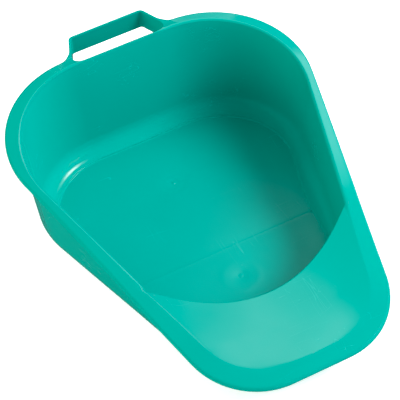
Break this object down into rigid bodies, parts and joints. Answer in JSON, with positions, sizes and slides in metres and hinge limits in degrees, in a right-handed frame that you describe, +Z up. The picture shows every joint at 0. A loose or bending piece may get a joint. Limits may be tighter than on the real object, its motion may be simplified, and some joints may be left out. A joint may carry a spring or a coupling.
{
  "type": "slipper bedpan",
  "caption": "Wedge-shaped slipper bedpan with a wide rolled rim, a dished seat deck over the low toe end, an open flat-bottomed bowl and a strap carry handle at the deep end.",
  "frame": {"origin": "on the standing surface, under the middle of the overall length and width", "axes": "+Z up, +Y along the centreline towards the carry handle, +X to the right of someone looking from the toe towards the handle"},
  "size_m": [0.2742, 0.38, 0.1015],
  "materials": {
    "polypropylene": "semi-gloss injection-moulded polypropylene, lightly scuffed"
  },
  "bodies": {
    "root": {"base_panel": "polypropylene", "front_floor": "polypropylene", "bowl_wall": "polypropylene", "front_wall": "polypropylene", "rim_left": "polypropylene", "rim_right": "polypropylene", "seat_deck": "polypropylene", "carry_handle": "polypropylene"}
  },
  "joints": []
}
